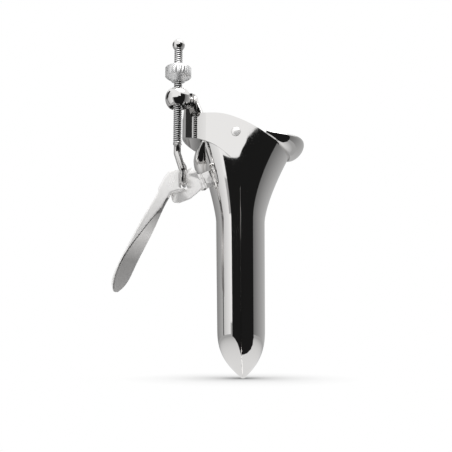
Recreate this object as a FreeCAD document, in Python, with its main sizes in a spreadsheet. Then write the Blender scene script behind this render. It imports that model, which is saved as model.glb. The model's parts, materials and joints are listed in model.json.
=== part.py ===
"""Two-blade speculum with a side lever and a screw lock, in millimetres.

The instrument stands on the tip of its closed blades. X points away from the thumb lever,
Y points from the screw side to the far side and Z points up from the blade tip.
The blades part on the plane X = 0 and the mobile blade turns about a Y axis.
"""
import FreeCAD, Part
import math
import os

import Sketcher

Vector = FreeCAD.Vector
UP = Vector(0, 0, 1)
ACROSS = Vector(0, 1, 0)

SIZES = {
    # sheet metal and fits
    "sheet_thickness": 1.2,
    "blade_gap": 0.3,
    "nest_clearance": 0.3,
    "pin_clearance": 0.05,
    "seat_clearance": 0.05,
    "knuckle_clearance": 0.25,
    # blades, measured from the tip and from the parting plane
    "nose_length": 21.5,
    "nose_wall": 2.4,
    "fixed_depth": 9.8,
    "mobile_depth": 11.3,
    "blade_half_width": 13.9,
    "blade_growth": 0.9,
    "flare_height": 31.0,
    "fixed_flare": 11.6,
    "mobile_flare": 7.4,
    "width_flare": 3.3,
    "corner_power": 2.3,
    "nest_length": 36.0,
    # hinge of the two blades; the heights below are measured from it
    "hinge_left": 1.7,
    "hinge_height": 108.8,
    "flare_below_hinge": 37.8,
    "nest_below_hinge": 62.8,
    "crown_above_hinge": 11.8,
    "ball_above_hinge": 16.9,
    "hook_below_hinge": 22.4,
    # yoke, the band of the fixed sheet that goes round the mobile blade
    "yoke_reach": 28.5,
    "mouth_right": 8.4,
    "mouth_drop": 10.2,
    "mouth_slope": 0.657,
    "seam_below_crown": 36.1,
    "ear_radius": 4.3,
    "ear_base": 8.0,
    "ear_foot": 6.0,
    "ear_upright": 3.0,
    # hinge wing of the mobile blade
    "wing_radius": 6.0,
    # rolled rims
    "rim_long": 5.0,
    "rim_short": 2.7,
    "rim_tilt": 45.0,
    "rim_bite": 0.4,
    "lip_radius": 2.8,
    # hinge rivets and their washers
    "rivet_radius": 1.25,
    "rivet_head_radius": 2.1,
    "rivet_head_height": 0.9,
    "peened_height": 0.7,
    "rivet_slack": 0.1,
    "washer_radius": 2.6,
    "washer_thickness": 0.4,
    # swivel ball, its stem and what holds the stem
    "screw_left": 28.4,
    "screw_near": 16.6,
    "ball_radius": 5.8,
    "ball_bore_radius": 2.9,
    "ball_flare_radius": 4.6,
    "stem_radius": 1.6,
    "stem_washer_radius": 3.0,
    "stem_washer": 1.3,
    "stem_end": 0.5,
    "collar_radius": 2.6,
    "collar_height": 1.3,
    "collar_gap": 0.3,
    # screw, its stop ball and its nut
    "thread_radius": 1.95,
    "thread_below_ball": 21.7,
    "shank_radius": 1.6,
    "shank_straight": 4.0,
    "stop_radius": 2.9,
    "stop_socket": 0.9,
    "stop_above_nut": 16.0,
    "nut_above_ball": 10.3,
    "nut_radius": 6.0,
    "nut_rim": 4.9,
    "nut_chamfer": 0.5,
    "nut_step_radius": 4.3,
    "nut_step": 0.7,
    "nut_hub_radius": 3.2,
    "nut_hub": 1.8,
    # loop at the foot of the screw, hooked through the lever head
    "hook_left": 26.0,
    "loop_wire_radius": 0.9,
    "loop_corner": 2.2,
    "loop_straight": 4.6,
    # lever, plate and folding hinge
    "lever_face": 14.8,
    "head_thickness": 2.6,
    "plate_thickness": 2.0,
    "slot_width": 3.0,
    "slot_above_hook": 4.5,
    "slot_below_hook": 1.9,
    "lever_tail": 1.7,
    "lever_width": 16.0,
    "lever_rivet_radius": 0.9,
    "lever_rivet_left": 4.3,
    "lever_rivet_low": 0.8,
    "lever_rivet_high": 3.8,
    "knuckle_radius": 1.7,
    "knuckle_pin_radius": 0.7,
    "knuckle_length": 7.0,
    "knuckle_gap": 0.1,
    "knuckle_right": 9.4,
    "knuckle_below_hook": 1.8,
    "leaf_width": 5.0,
    "leaf_thickness": 1.6,
    "pin_overhang": 0.4,
}

# Side view of the band: the X as a share of the yoke's reach and the drop below the crown.
BAND_LOWER_EDGE = [(0.084, 25.9), (0.337, 18.4), (0.635, 13.8), (0.877, 11.4), (1.105, 7.8)]
BAND_CROWN_EDGE = [(0.561, 1.7), (0.246, 3.1), (-0.053, 6.4)]

# Back edge of the mobile blade's mouth, and the centre line of its rolled lip: left of and below the hinge.
MOBILE_BACK_EDGE = [(9.3, -2.8), (15.3, 1.8), (16.2, 9.3), (17.1, 14.2)]
LIP_PATH = [(15.2, 11.6, 2.2), (17.1, 9.0, 6.0), (17.8, 6.2, 9.4), (18.0, 3.1, 11.2), (18.0, 0.0, 11.9)]
LIP_SHARES = [0.35, 0.75, 1.0, 1.0, 1.0]

# Plan angles of the rolled rim's sections, round the mouth of the fixed blade.
RIM_TURNS = [-66, -52, -36, -18, 0, 18, 36, 52, 66]

# Outlines of the lever head and its plate, to the right of and above the hook, with each corner's radius.
HEAD_OUTLINE = [
    (-11.4, -2.4, 0.0),
    (-8.6, 3.2, 2.5),
    (-6.4, 5.8, 1.5),
    (-3.2, 6.4, 0.0),
    (1.3, 6.6, 1.5),
    (2.4, 2.2, 2.0),
    (0.3, -2.8, 1.5),
    (-4.9, -4.1, 0.0),
    (-9.0, -6.4, 0.0),
]
PLATE_OUTLINE = [
    (-4.4, 5.2, 0.0),
    (-1.0, 6.4, 0.0),
    (1.2, 6.6, 0.0),
    (3.8, 8.2, 0.7),
    (5.8, 6.0, 0.0),
    (8.4, -1.6, 0.0),
    (3.0, -6.2, 2.5),
    (-2.2, -8.1, 1.5),
    (-5.0, -7.9, 1.2),
    (-6.0, -4.0, 0.0),
]

# Thumb lever in the side view, from the head to the tip of the thumb rest: height above the hook,
# outer edge, crease and inner edge to the right of the hook, and the width across as a share of the full width.
LEVER_ROWS = [
    (-2.4, -11.3, -5.0, -4.7, 0.16),
    (-6.9, -13.8, -7.0, -6.8, 0.16),
    (-16.4, -18.8, -14.0, -13.2, 0.6),
    (-26.4, -24.0, -21.4, -18.9, 0.82),
    (-36.4, -29.0, -27.6, -24.6, 1.0),
    (-43.4, -31.4, -29.9, -27.6, 0.9),
    (-46.6, -31.2, -30.1, -28.9, 0.62),
    (-48.4, -30.5, -29.9, -29.4, 0.3),
]

doc = FreeCAD.newDocument("speculum")
sheet = doc.addObject("Spreadsheet::Sheet", "Sizes")
for row, (alias, size) in enumerate(SIZES.items(), start=1):
    sheet.set(f"A{row}", alias.replace("_", " "))
    sheet.set(f"B{row}", str(size))
    sheet.setAlias(f"B{row}", alias)
doc.recompute()


def value(expression):
    """Work out an expression of the spreadsheet, such as Sizes.nut_radius * 2."""
    return float(sheet.evalExpression(expression))


class Named:
    """Read the sheet's cells as attributes: size.nut_radius."""

    def __getattr__(self, alias):
        return value(f"Sizes.{alias}")


size = Named()

# Heights and places that follow from the sizes.
FLARE_START = size.hinge_height - size.flare_below_hinge
NEST_START = size.hinge_height - size.nest_below_hinge
CROWN = size.hinge_height + size.crown_above_hinge
HINGE = Vector(-size.hinge_left, 0, size.hinge_height)
HOOK = Vector(-size.hook_left, -size.lever_face, size.hinge_height - size.hook_below_hinge)
BALL = Vector(-size.screw_left, -size.screw_near, size.hinge_height + size.ball_above_hinge)

# The same places as expressions of the sheet.
HOOK_HEIGHT = "(Sizes.hinge_height - Sizes.hook_below_hinge)"
BALL_HEIGHT = "(Sizes.hinge_height + Sizes.ball_above_hinge)"
THREAD_START = f"({BALL_HEIGHT} - Sizes.thread_below_ball)"
NUT_HEIGHT = f"({BALL_HEIGHT} + Sizes.nut_above_ball)"
STOP_HEIGHT = f"({NUT_HEIGHT} + Sizes.stop_above_nut)"
SCREW_AXIS = ("-Sizes.screw_left", "-Sizes.screw_near")


def stations():
    """Heights of the blade sections: close in the nose, then evenly up the blade and up the flare."""
    nose_part = [size.nose_length * share for share in (0, 0.055, 0.14, 0.25, 0.42, 0.6, 0.81)]
    start = size.nose_length * 1.07
    straight = [start + (FLARE_START - start) * step / 6 for step in range(6)]
    flared = [FLARE_START + size.flare_height * step / 5 for step in range(11)]
    return nose_part + straight + flared


def nose(height, start=0.0):
    """Share of the full section reached at a height in the bullet-shaped nose."""
    left = max(0.0, 1.0 - (height - start) / (size.nose_length - start))
    return 1.0 - 0.94 * left ** 2.55


def flare(height, power):
    """Share of the flare reached at a height, 0 below the flare and 1 at its stated height."""
    return max(0.0, (height - FLARE_START) / size.flare_height) ** power


def eased(share):
    """Smooth step from 0 to 1."""
    share = min(1.0, max(0.0, share))
    return share * share * (3.0 - 2.0 * share)


def fixed_depth(height):
    grown = size.fixed_depth + 0.5 * size.blade_growth * height / FLARE_START
    return grown + size.fixed_flare * flare(height, 1.45)


def mobile_depth(height):
    grown = size.mobile_depth + size.blade_growth * height / FLARE_START
    return grown + size.mobile_flare * flare(height, 1.3)


def yoke_depth(height):
    """Reach of the yoke's section to the left; below the band it only has to be smooth."""
    start = size.mobile_depth + size.blade_growth
    return start + (size.yoke_reach - start) * eased(flare(height, 1.0))


def half_width(height):
    grown = size.blade_half_width + size.blade_growth * height / FLARE_START
    share = min(1.0, flare(height, 1.0))
    return grown + size.width_flare * (1.0 - (1.0 - share) ** 1.6)


def nested_width(height):
    """Half width of the mobile blade, which slips inside the fixed one towards the hinge."""
    share = eased((height - NEST_START) / size.nest_length)
    return half_width(height) - (size.sheet_thickness + size.nest_clearance) * share


def section(height, left, right, width):
    """Closed wire of a blade section: two rounded halves that meet on the parting plane."""
    steps = 7
    power = 2.0 / size.corner_power

    def half(depth):
        points = []
        for step in range(-steps, steps + 1):
            turn = step / steps * math.pi / 2
            out = depth * abs(math.cos(turn)) ** power if abs(step) < steps else 0.0
            across = width * math.copysign(abs(math.sin(turn)) ** power, turn)
            points.append(Vector(out, across, height))
        return points

    right_curve = Part.BSplineCurve()
    right_curve.interpolate(Points=half(right), InitialTangent=Vector(1, 0, 0), FinalTangent=Vector(-1, 0, 0))
    left_curve = Part.BSplineCurve()
    left_points = half(-left)[::-1]
    left_curve.interpolate(Points=left_points, InitialTangent=Vector(-1, 0, 0), FinalTangent=Vector(1, 0, 0))
    return Part.Wire([right_curve.toShape(), left_curve.toShape()])


def closed_loft(left, right, width, inset):
    """Loft a closed blade form, made smaller all round by inset."""
    start = size.nose_wall if inset else 0.0
    wires = []
    for height in stations():
        if height < start:
            continue
        share = nose(height, start)
        sides = (left(height) - inset, right(height) - inset, width(height) - inset)
        wires.append(section(height, *(side * share for side in sides)))
    return Part.makeLoft(wires, True, False)


def side_outline(start, *stretches):
    """Closed wire in the side view. Each stretch is a kind and the points it runs on to."""
    here = Vector(start[0], 0, start[1])
    edges = []
    for kind, *spots in stretches:
        ahead = [Vector(x, 0, z) for x, z in spots]
        if kind == "line":
            edges.append(Part.LineSegment(here, ahead[0]).toShape())
        elif kind == "arc":
            edges.append(Part.Arc(here, *ahead).toShape())
        else:
            curve = Part.BSplineCurve()
            curve.interpolate([here] + ahead)
            edges.append(curve.toShape())
        here = ahead[-1]
    edges.append(Part.LineSegment(here, Vector(start[0], 0, start[1])).toShape())
    return Part.Wire(edges)


def prism(wire, direction, reach):
    """Extrude a closed outline both ways along a direction."""
    face = Part.Face(wire)
    face.translate(direction * -reach)
    return face.extrude(direction * (2.0 * reach))


def nearest_on_yoke(place):
    """Point of the yoke's outer wall that lies nearest to a place, at the same height."""
    power = 2.0 / size.corner_power
    wall = []
    for step in range(1, 900):
        turn = math.radians(step / 10.0)
        out = -size.yoke_reach * math.cos(turn) ** power
        across = -half_width(place.z) * math.sin(turn) ** power
        wall.append(Vector(out, across, place.z))
    return min(wall, key=lambda point: (point - place).Length)


EAR_POINT = nearest_on_yoke(BALL)
STAND_OFF = (EAR_POINT - BALL).Length
STEM = (BALL - EAR_POINT).normalize()
EAR_TANGENT = Vector(-STEM.y, STEM.x, 0)


def form(name, shape):
    """Add a lofted or swept shape, which no primitive fits, under its own label."""
    made = doc.addObject("Part::Feature", name)
    made.Shape = shape
    made.Placement = FreeCAD.Placement()
    return made


def primitive(kind, name, base, direction=UP, **lengths):
    """Part primitive whose lengths follow the sheet; base is a point or three expressions."""
    made = doc.addObject(f"Part::{kind}", name)
    for prop, text in lengths.items():
        made.setExpression(prop, text)
    turn = FreeCAD.Rotation(UP, direction)
    if isinstance(base, Vector):
        made.Placement = FreeCAD.Placement(base, turn)
        return made
    made.Placement = FreeCAD.Placement(Vector(*[value(text) for text in base]), turn)
    for axis, text in zip("xyz", base):
        made.setExpression(f"Placement.Base.{axis}", text)
    return made


def joined(name, *pieces):
    made = doc.addObject("Part::MultiFuse", name)
    made.Shapes = list(pieces)
    return made


def shared(name, base, tool):
    made = doc.addObject("Part::Common", name)
    made.Base = base
    made.Tool = tool
    return made


def trimmed(name, base, *tools):
    """Cut one or more tools out of a base."""
    made = doc.addObject("Part::Cut", name)
    made.Base = base
    made.Tool = tools[0] if len(tools) == 1 else joined(f"{name}_tools", *tools)
    return made


def attach(body, role):
    """Start a sketch on one of a body's own origin planes."""
    plane = [item for item in body.Origin.OriginFeatures if item.Role == role][0]
    sketch = body.newObject("Sketcher::SketchObject", f"{body.Name}_sketch")
    sketch.AttachmentSupport = [(plane, "")]
    sketch.MapMode = "FlatFace"
    return sketch


def outline(sketch, points):
    """Draw a closed outline whose corners are held by expressions of the sheet."""
    count = len(points)
    numbers = [(value(across), value(along)) for across, along in points]
    for index in range(count):
        start = Vector(*numbers[index], 0)
        end = Vector(*numbers[(index + 1) % count], 0)
        sketch.addGeometry(Part.LineSegment(start, end))
    for index in range(count):
        following = (index + 1) % count
        sketch.addConstraint(Sketcher.Constraint("Coincident", index, 2, following, 1))
    for index, pair in enumerate(points):
        for kind, text, number in zip(("DistanceX", "DistanceY"), pair, numbers[index]):
            place = sketch.addConstraint(Sketcher.Constraint(kind, index, 1, number))
            if "Sizes" in text:
                sketch.renameConstraint(place, f"{kind}_{index}")
                sketch.setExpression(f"Constraints.{kind}_{index}", text)


def turned(name, points, base, direction):
    """Body of revolution: radius and height pairs, turned about an axis through base."""
    body = doc.addObject("PartDesign::Body", name)
    sketch = attach(body, "XZ_Plane")
    outline(sketch, points)
    turn = body.newObject("PartDesign::Revolution", f"{name}_turned")
    turn.Profile = sketch
    turn.ReferenceAxis = (sketch, ["V_Axis"])
    turn.Angle = 360
    body.Placement = FreeCAD.Placement(base, FreeCAD.Rotation(UP, direction))
    return body


def flat_plate(name, corners, face, thickness):
    """Plate in the side view round the hook: its near face stands at Y = -face and its corners are rounded."""
    body = doc.addObject("PartDesign::Body", name)
    sketch = attach(body, "XZ_Plane")
    sketch.setExpression("AttachmentOffset.Base.z", face)
    outline(sketch, [(f"{right} - Sizes.hook_left", f"{above} + {HOOK_HEIGHT}") for right, above, _ in corners])
    pad = body.newObject("PartDesign::Pad", f"{name}_pad")
    pad.Profile = sketch
    pad.setExpression("Length", thickness)
    pad.Reversed = True
    doc.recompute()
    for radius in sorted({corner[2] for corner in corners if corner[2]}):
        wanted = [HOOK + Vector(right, 0, above) for right, above, turn in corners if turn == radius]
        sharp = body.Tip
        edges = []
        for number, edge in enumerate(sharp.Shape.Edges, start=1):
            ends = [vertex.Point for vertex in edge.Vertexes]
            if len(ends) == 2 and abs(ends[0].x - ends[1].x) + abs(ends[0].z - ends[1].z) < 1e-6:
                if any(math.hypot(ends[0].x - spot.x, ends[0].z - spot.z) < 0.01 for spot in wanted):
                    edges.append(f"Edge{number}")
        fillet = body.newObject("PartDesign::Fillet", f"{name}_round")
        fillet.Base = (sharp, edges)
        fillet.Radius = radius
        doc.recompute()
    return body


def domed(name, radius, height, seat, direction):
    """Domed head: a ball cap of a given radius and height, on its flat seat."""
    ball = f"(({radius} ^ 2 + {height} ^ 2) / (2 * {height}))"
    centre = seat - direction * (value(ball) - value(height))
    return primitive("Sphere", name, centre, direction, Radius=ball, Angle1=f"asin(1 - {height} / {ball})")


def band_outline():
    """Side view of the fixed sheet: blade on the right, band to the left under its crowned top edge."""
    gap = size.blade_gap / 2
    below = -2.0
    clear_right = size.mouth_right + size.yoke_reach
    lower = [(-share * size.yoke_reach, CROWN - drop) for share, drop in BAND_LOWER_EDGE]
    crown = [(-share * size.yoke_reach, CROWN - drop) for share, drop in BAND_CROWN_EDGE]
    mouth_start = (size.mouth_right, CROWN - size.mouth_drop)
    mouth_end = (clear_right, mouth_start[1] - size.mouth_slope * (clear_right - size.mouth_right))
    return side_outline(
        (gap, below),
        ("line", (gap, CROWN - size.seam_below_crown)),
        ("curve", *lower),
        ("line", (lower[-1][0], CROWN)),
        ("curve", *crown, mouth_start),
        ("line", mouth_end),
        ("line", (clear_right, below)),
    )


def rim_station(angle):
    """Point of the fixed blade's mouth edge at a plan angle, found on the blade and the mouth line."""
    power = 2.0 / size.corner_power
    height = size.hinge_height
    for _ in range(40):
        across = half_width(height) * math.copysign(abs(math.sin(angle)) ** power, angle)
        out = fixed_depth(height) * abs(math.cos(angle)) ** power
        height = CROWN - size.mouth_drop - (out - size.mouth_right) * size.mouth_slope
    return Vector(out, across, height)


def rolled_rim():
    """Rim rolled outwards round the mouth of the fixed blade, widest away from the hinge."""
    tilt = math.radians(size.rim_tilt)
    wires = []
    for degrees in RIM_TURNS:
        angle = math.radians(degrees)
        share = 0.13 + 0.87 * math.cos(angle * 1.28) ** 1.2
        outward = Vector(math.cos(angle * 1.05), math.sin(angle * 1.05), 0)
        long_way = outward * math.cos(tilt) + UP * math.sin(tilt)
        short_way = outward * -math.sin(tilt) + UP * math.cos(tilt)
        centre = rim_station(angle) + long_way * (size.rim_long * share - size.rim_bite)
        ellipse = Part.Ellipse(
            centre + long_way * size.rim_long * share, centre + short_way * size.rim_short * share, centre
        )
        wires.append(Part.Wire([ellipse.toShape()]))
    return Part.makeLoft(wires, True, False)


def ear_outline():
    """Upright ear on the band, square to the ball's stem, with a round top."""
    foot = Vector(EAR_POINT.x, EAR_POINT.y, CROWN - size.ear_foot)
    shoulder = foot + UP * size.ear_upright
    top = Vector(EAR_POINT.x, EAR_POINT.y, BALL.z)
    base = EAR_TANGENT * size.ear_base
    side = EAR_TANGENT * size.ear_radius
    corners = [foot - base, foot + base, shoulder + base, top + side]
    edges = [Part.LineSegment(start, end).toShape() for start, end in zip(corners, corners[1:])]
    edges.append(Part.Arc(top + side, top + UP * size.ear_radius, top - side).toShape())
    edges.append(Part.LineSegment(top - side, shoulder - base).toShape())
    edges.append(Part.LineSegment(shoulder - base, foot - base).toShape())
    return Part.Wire(edges)


def rivet_hole(name):
    """Hole for both hinge rivets, right through the two blades."""
    start = ("-Sizes.hinge_left", "-2 * Sizes.blade_half_width", "Sizes.hinge_height")
    return primitive(
        "Cylinder", name, start, ACROSS, Radius="Sizes.rivet_radius + Sizes.pin_clearance",
        Height="4 * Sizes.blade_half_width",
    )


def make_fixed_blade():
    """Fixed blade, its side wings, the yoke band, the ear and the rolled rim: one sheet."""
    outer = form("yoke_outer", closed_loft(yoke_depth, fixed_depth, half_width, 0.0))
    inner = form("yoke_inner", closed_loft(yoke_depth, fixed_depth, half_width, size.sheet_thickness))
    shell = trimmed("yoke_shell", outer, inner)
    band_view = form("band_view", prism(band_outline(), ACROSS, 30.0))
    ear_view = form("ear_view", prism(ear_outline(), STEM, size.ear_foot))
    sheet_form = shared("blade_band_and_ear", shell, joined("kept_of_shell", band_view, ear_view))
    whole = joined("fixed_sheet", sheet_form, form("rolled_rim", rolled_rim()))
    stem_hole = primitive(
        "Cylinder", "stem_hole", BALL, -STEM, Radius="Sizes.stem_radius + Sizes.pin_clearance",
        Height="3 * Sizes.stem_washer_radius + Sizes.ball_radius",
    )
    return trimmed("fixed_blade", whole, rivet_hole("fixed_rivet_hole"), stem_hole), outer


def mobile_outline():
    """Side view of the mobile sheet: blade on the left and a round hinge wing at the top."""
    gap = size.blade_gap / 2
    wing = size.wing_radius
    below = -2.0
    clear_left = HINGE.x - size.yoke_reach
    back = [(HINGE.x - left, HINGE.z - drop) for left, drop in MOBILE_BACK_EDGE]
    return side_outline(
        (-gap, below),
        ("line", (-gap, CROWN - size.seam_below_crown - 0.5)),
        ("curve", (1.2, HINGE.z - 16.8), (HINGE.x + wing * 0.87, HINGE.z - wing * 0.5)),
        ("arc", (HINGE.x + wing * 0.87, HINGE.z + wing * 0.5), (HINGE.x, HINGE.z + wing)),
        ("curve", back[0], back[1]),
        ("line", back[2]),
        ("line", back[3]),
        ("line", (clear_left, back[3][1])),
        ("line", (clear_left, below)),
    )


def rolled_lip():
    """Lip rolled outwards round the back of the mobile blade's mouth."""
    near = [HINGE + Vector(-left, -across, -drop) for left, across, drop in LIP_PATH]
    far = [HINGE + Vector(-left, across, -drop) for left, across, drop in LIP_PATH[-2::-1]]
    centres = near + far
    shares = LIP_SHARES + LIP_SHARES[-2::-1]
    wires = []
    for index, centre in enumerate(centres):
        ahead = centres[min(index + 1, len(centres) - 1)]
        behind = centres[max(index - 1, 0)]
        ring = Part.Circle(centre, (ahead - behind).normalize(), size.lip_radius * shares[index])
        wires.append(Part.Wire([ring.toShape()]))
    return Part.makeLoft(wires, True, False)


def make_mobile_blade():
    """Mobile blade with its hinge wings and rolled lip: one sheet."""
    outer = form("mobile_outer", closed_loft(mobile_depth, fixed_depth, nested_width, 0.0))
    inner = form("mobile_inner", closed_loft(mobile_depth, fixed_depth, nested_width, size.sheet_thickness))
    shell = trimmed("mobile_shell", outer, inner)
    blade = shared("mobile_sheet", shell, form("mobile_side_view", prism(mobile_outline(), ACROSS, 30.0)))
    whole = joined("mobile_sheet_and_lip", blade, form("rolled_lip", rolled_lip()))
    return trimmed("mobile_blade", whole, rivet_hole("mobile_rivet_hole")), outer


def hinge_hardware(side, place):
    """One hinge rivet and the washer under its peened end; side is -1 near and +1 far."""
    outward = Vector(0, side, 0)
    seat = HINGE + outward * (half_width(size.hinge_height) + size.seat_clearance)
    stack = "(2 * Sizes.sheet_thickness + Sizes.nest_clearance + 3 * Sizes.seat_clearance + Sizes.rivet_slack)"
    inner_seat = seat - outward * value(stack)
    length = f"{stack} + Sizes.washer_thickness"
    head = domed(f"{place}_rivet_head", "Sizes.rivet_head_radius", "Sizes.rivet_head_height", seat, outward)
    shank = primitive("Cylinder", f"{place}_rivet_shank", seat, -outward, Radius="Sizes.rivet_radius", Height=length)
    peened = domed(
        f"{place}_rivet_peened", "Sizes.rivet_head_radius", "Sizes.peened_height",
        inner_seat - outward * size.washer_thickness, -outward,
    )
    rivet = joined(f"{place}_hinge_rivet", head, shank, peened)
    disc = primitive(
        "Cylinder", f"{place}_washer_disc", inner_seat, -outward, Radius="Sizes.washer_radius",
        Height="Sizes.washer_thickness",
    )
    bore = primitive(
        "Cylinder", f"{place}_washer_bore", inner_seat, -outward, Radius="Sizes.rivet_radius + Sizes.pin_clearance",
        Height="Sizes.washer_thickness",
    )
    return [rivet, trimmed(f"{place}_hinge_washer", disc, bore)]


def make_swivel(yoke_outer):
    """Bored ball with its stem, the washer between ball and ear and the collar inside the ear."""
    ball_place = (*SCREW_AXIS, BALL_HEIGHT)
    ball = primitive("Sphere", "ball", ball_place, Radius="Sizes.ball_radius")
    stem = primitive(
        "Cylinder", "stem", BALL, -STEM, Radius="Sizes.stem_radius",
        Height=f"{STAND_OFF} + Sizes.sheet_thickness + Sizes.stem_end + Sizes.collar_height",
    )
    bore_under = primitive(
        "Cone", "bore_under", (*SCREW_AXIS, f"{BALL_HEIGHT} - Sizes.ball_radius"),
        Radius1="Sizes.ball_flare_radius", Radius2="Sizes.ball_bore_radius", Height="Sizes.ball_radius",
    )
    bore_over = primitive(
        "Cone", "bore_over", ball_place, Radius1="Sizes.ball_bore_radius", Radius2="Sizes.ball_flare_radius",
        Height="Sizes.ball_radius",
    )
    swivel = trimmed("swivel_ball", joined("ball_and_stem", ball, stem), bore_under, bore_over)

    washer_start = BALL - STEM * (STAND_OFF - size.seat_clearance - size.stem_washer)
    ring = primitive(
        "Cylinder", "washer_ring", washer_start, -STEM, Radius="Sizes.stem_washer_radius", Height="Sizes.stem_washer"
    )
    washer_bore = primitive(
        "Cylinder", "washer_bore", washer_start, -STEM, Radius="Sizes.stem_radius + Sizes.pin_clearance",
        Height="Sizes.stem_washer",
    )
    cup = primitive("Sphere", "washer_cup", ball_place, Radius="Sizes.ball_radius + Sizes.seat_clearance")
    washer = trimmed("stem_washer", ring, washer_bore, cup, yoke_outer)

    collar_start = BALL - STEM * (STAND_OFF + size.sheet_thickness + size.collar_gap)
    collar_disc = primitive(
        "Cylinder", "collar_disc", collar_start, -STEM, Radius="Sizes.collar_radius", Height="Sizes.collar_height"
    )
    collar_bore = primitive(
        "Cylinder", "collar_bore", collar_start, -STEM, Radius="Sizes.stem_radius", Height="Sizes.collar_height"
    )
    return [swivel, washer, trimmed("stem_collar", collar_disc, collar_bore)]


def hook_loop(centre):
    """Rounded square loop of wire round the lever's bar, in the plane square to X."""
    half = size.loop_straight / 2
    pieces = []
    for quarter in range(4):
        spin = FreeCAD.Rotation(Vector(1, 0, 0), 90 * quarter)
        upright = FreeCAD.Rotation(Vector(0, 1, 0), UP, Vector(1, 0, 0), "ZXY")
        corner = primitive(
            "Torus", f"loop_corner_{quarter}", centre, Radius1="Sizes.loop_corner", Radius2="Sizes.loop_wire_radius"
        )
        corner.Angle3 = 90
        corner.Placement = FreeCAD.Placement(centre + spin.multVec(Vector(0, half, half)), spin * upright)
        side_start = centre + spin.multVec(Vector(0, -half, half + size.loop_corner))
        side = primitive(
            "Cylinder", f"loop_side_{quarter}", side_start, spin.multVec(ACROSS), Radius="Sizes.loop_wire_radius",
            Height="Sizes.loop_straight",
        )
        pieces += [corner, side]
    return pieces


def make_screw():
    """Threaded rod: the threaded length, the plain shank that cranks over, and the loop in the lever head."""
    web = size.head_thickness + size.plate_thickness
    reach = size.loop_straight / 2 + size.loop_corner
    loop_centre = HOOK + Vector(0, web / 2, reach)
    crank = Vector(BALL.x, BALL.y, value(f"{THREAD_START} - Sizes.shank_straight"))
    foot = loop_centre + Vector(0, -reach + 0.3, 1.6)
    rod = primitive(
        "Cylinder", "thread", (*SCREW_AXIS, THREAD_START), Radius="Sizes.thread_radius",
        Height=f"{STOP_HEIGHT} - Sizes.stop_radius + Sizes.stop_socket - {THREAD_START}",
    )
    crank_place = (*SCREW_AXIS, f"{THREAD_START} - Sizes.shank_straight")
    shank = primitive("Cylinder", "shank", crank_place, Radius="Sizes.shank_radius", Height="Sizes.shank_straight")
    knee = primitive("Sphere", "knee", crank_place, Radius="Sizes.shank_radius")
    leg = primitive("Cylinder", "leg", crank, foot - crank, Radius="Sizes.shank_radius")
    leg.Height = (foot - crank).Length
    toe = primitive("Sphere", "toe", foot, Radius="Sizes.shank_radius")
    return joined("threaded_rod", rod, shank, knee, leg, toe, *hook_loop(loop_centre))


def make_stop_ball():
    """Ball on top of the screw, which keeps the nut on; its socket takes the end of the rod."""
    ball = primitive("Sphere", "stop_ball_round", (*SCREW_AXIS, STOP_HEIGHT), Radius="Sizes.stop_radius")
    socket = primitive(
        "Cylinder", "stop_ball_socket", (*SCREW_AXIS, f"{STOP_HEIGHT} - Sizes.stop_radius"),
        Radius="Sizes.thread_radius", Height="Sizes.stop_socket",
    )
    return trimmed("rod_stop_ball", ball, socket)


def make_nut():
    """Nut with a tall rim, chamfered edges and a stepped hub under it, turned about the screw."""
    bore = "Sizes.thread_radius + Sizes.pin_clearance"
    points = [
        (bore, "0"),
        ("Sizes.nut_hub_radius", "0"),
        ("Sizes.nut_hub_radius", "Sizes.nut_hub - Sizes.nut_step"),
        ("Sizes.nut_step_radius", "Sizes.nut_hub - Sizes.nut_step"),
        ("Sizes.nut_step_radius", "Sizes.nut_hub"),
        ("Sizes.nut_radius - Sizes.nut_chamfer", "Sizes.nut_hub"),
        ("Sizes.nut_radius", "Sizes.nut_hub + Sizes.nut_chamfer"),
        ("Sizes.nut_radius", "Sizes.nut_hub + Sizes.nut_rim - Sizes.nut_chamfer"),
        ("Sizes.nut_radius - Sizes.nut_chamfer", "Sizes.nut_hub + Sizes.nut_rim"),
        (bore, "Sizes.nut_hub + Sizes.nut_rim"),
    ]
    base = Vector(BALL.x, BALL.y, value(f"{NUT_HEIGHT} - Sizes.nut_hub"))
    return turned("knurled_nut", points, base, UP)


def slot_cutter(name):
    """Slot of the hook loop through the lever head and the plate."""
    place = (
        "-Sizes.hook_left - Sizes.slot_width / 2",
        "-Sizes.lever_face - 2",
        f"{HOOK_HEIGHT} - Sizes.slot_below_hook",
    )
    return primitive(
        "Box", name, place, Length="Sizes.slot_width", Width="2 * (Sizes.head_thickness + Sizes.plate_thickness)",
        Height="Sizes.slot_above_hook + Sizes.slot_below_hook",
    )


def lever_pins(name):
    """Two flush rivets through the lever head and its plate."""
    pins = []
    for number, height in enumerate(("-Sizes.lever_rivet_low", "Sizes.lever_rivet_high")):
        place = ("-Sizes.hook_left - Sizes.lever_rivet_left", "-Sizes.lever_face", f"{HOOK_HEIGHT} + {height}")
        pins.append(primitive(
            "Cylinder", f"{name}_{number}", place, ACROSS, Radius="Sizes.lever_rivet_radius",
            Height="Sizes.head_thickness + Sizes.plate_thickness",
        ))
    return joined(name, *pins)


def lever_blade():
    """Thumb lever below its head: thick at the head, drawn out into a thin dished thumb rest."""
    tail = size.lever_tail
    wires = []
    for above, outer, crease, inner, share in LEVER_ROWS:
        deep = share * size.lever_width
        corners = [
            HOOK + Vector(outer, 0, above),
            HOOK + Vector(crease, 0, above),
            HOOK + Vector(inner, deep, above),
            HOOK + Vector(inner - tail, deep, above),
            HOOK + Vector(outer, 0, above),
        ]
        wires.append(Part.makePolygon(corners))
    return Part.makeLoft(wires, True, False)


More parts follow.
